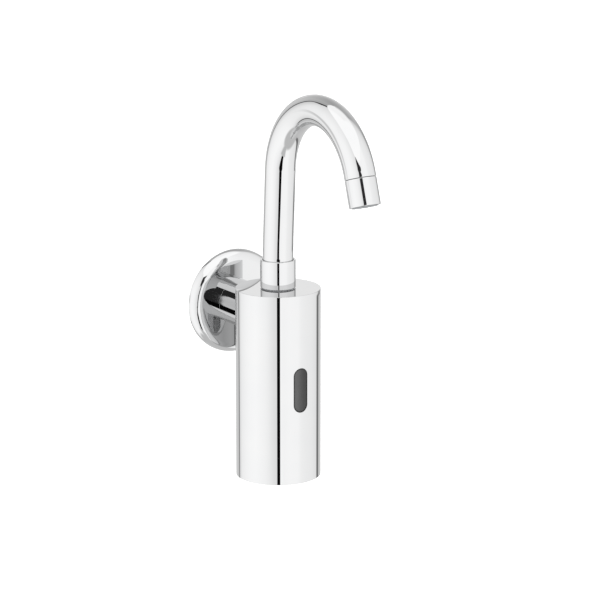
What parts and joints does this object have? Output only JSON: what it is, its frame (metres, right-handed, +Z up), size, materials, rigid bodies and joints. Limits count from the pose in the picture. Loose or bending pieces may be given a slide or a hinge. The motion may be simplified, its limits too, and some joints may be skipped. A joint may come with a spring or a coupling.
{
  "type": "wall-mounted sensor tap",
  "caption": "Wall-mounted sensor tap: round flange, short arm, upright cylinder with a sensor window, and a swivelling gooseneck spout.",
  "frame": {"origin": "on the inlet axis in the plane of the wall, where the half-inch thread leaves the flange's back", "axes": "+Z up along the body, +Y into the wall along the inlet thread, -Y towards the user"},
  "size_m": [0.075, 0.1948, 0.2794],
  "materials": {
    "chrome": "mirror chrome plate on brass",
    "brass": "machined",
    "rubber": "matt nitrile",
    "stainless_steel": "plain stainless",
    "black_plastic": "moulded",
    "white_plastic": "moulded acetal",
    "grey_plastic": "moulded",
    "smoked_window": "polished infrared-pass plastic",
    "circuit_board": "solder mask",
    "diode_plastic": "clear dark epoxy",
    "copper": "enamelled copper wire",
    "magnet": "sintered",
    "battery_wrap": "shrink wrap, plain"
  },
  "bodies": {
    "fixed": {"wall_flange": "chrome", "wall_gasket": "rubber", "inlet_connector": "brass", "connector_o_rings": "rubber", "inlet_filter": "stainless_steel", "inlet_socket": "brass", "inlet_socket_seal": "rubber", "arm_sleeve": "chrome", "arm_lock_screw": "stainless_steel", "body_shell": "chrome", "bottom_cap": "chrome", "bottom_seal": "rubber", "bottom_screws": "stainless_steel", "swivel_nipple": "brass", "nipple_seal": "rubber", "swivel_o_rings": "rubber", "slide_ring": "white_plastic", "sensor_window": "smoked_window", "window_gasket": "rubber", "sensor_housing": "black_plastic", "sensor_rear_cover": "black_plastic", "sensor_board": "circuit_board", "infrared_emitter": "diode_plastic", "infrared_receiver": "diode_plastic", "sensor_screws": "stainless_steel", "valve_body": "brass", "diaphragm": "rubber", "bonnet": "white_plastic", "bonnet_screws": "stainless_steel", "core_tube": "stainless_steel", "pole_piece": "stainless_steel", "plunger_spring": "stainless_steel", "coil_bobbin": "white_plastic", "coil_winding": "copper", "latch_magnet": "magnet", "coil_yoke": "stainless_steel", "coil_nut": "stainless_steel", "chassis": "black_plastic", "chassis_screws": "stainless_steel", "battery_holder": "black_plastic", "battery": "battery_wrap", "battery_contacts": "stainless_steel", "battery_pad": "rubber"},
    "spout": {"spout_collar": "chrome", "swivel_lock_screw": "stainless_steel", "spout_tube": "chrome", "outlet_ring": "brass", "aerator_housing": "chrome", "aerator_gasket": "rubber", "aerator_screen": "stainless_steel", "flow_regulator": "grey_plastic", "aerator_insert": "grey_plastic"},
    "plunger": {"plunger": "stainless_steel", "plunger_seal": "rubber"},
    "valve_disc": {"valve_disc": "white_plastic"}
  },
  "joints": [
    {"name": "spout_swivel", "type": "hinge", "parent": "fixed", "child": "spout", "pos_m": [0, -0.061, 0.0215], "axis": [0, 0, 1], "range_deg": [-60, 60]},
    {"name": "plunger_slide", "type": "slide", "parent": "fixed", "child": "plunger", "axis": [0, 0, -1], "range_m": [0, 0.002], "stiffness_N_per_m": 300, "springref_m": -0.004, "deforming": ["plunger_spring"]},
    {"name": "disc_lift", "type": "slide", "parent": "fixed", "child": "valve_disc", "axis": [0, 0, -1], "range_m": [0, 0.002], "deforming": ["diaphragm"]}
  ],
  "couplings": [
    {"joint": "disc_lift", "follows": "plunger_slide", "ratio": 1}
  ]
}
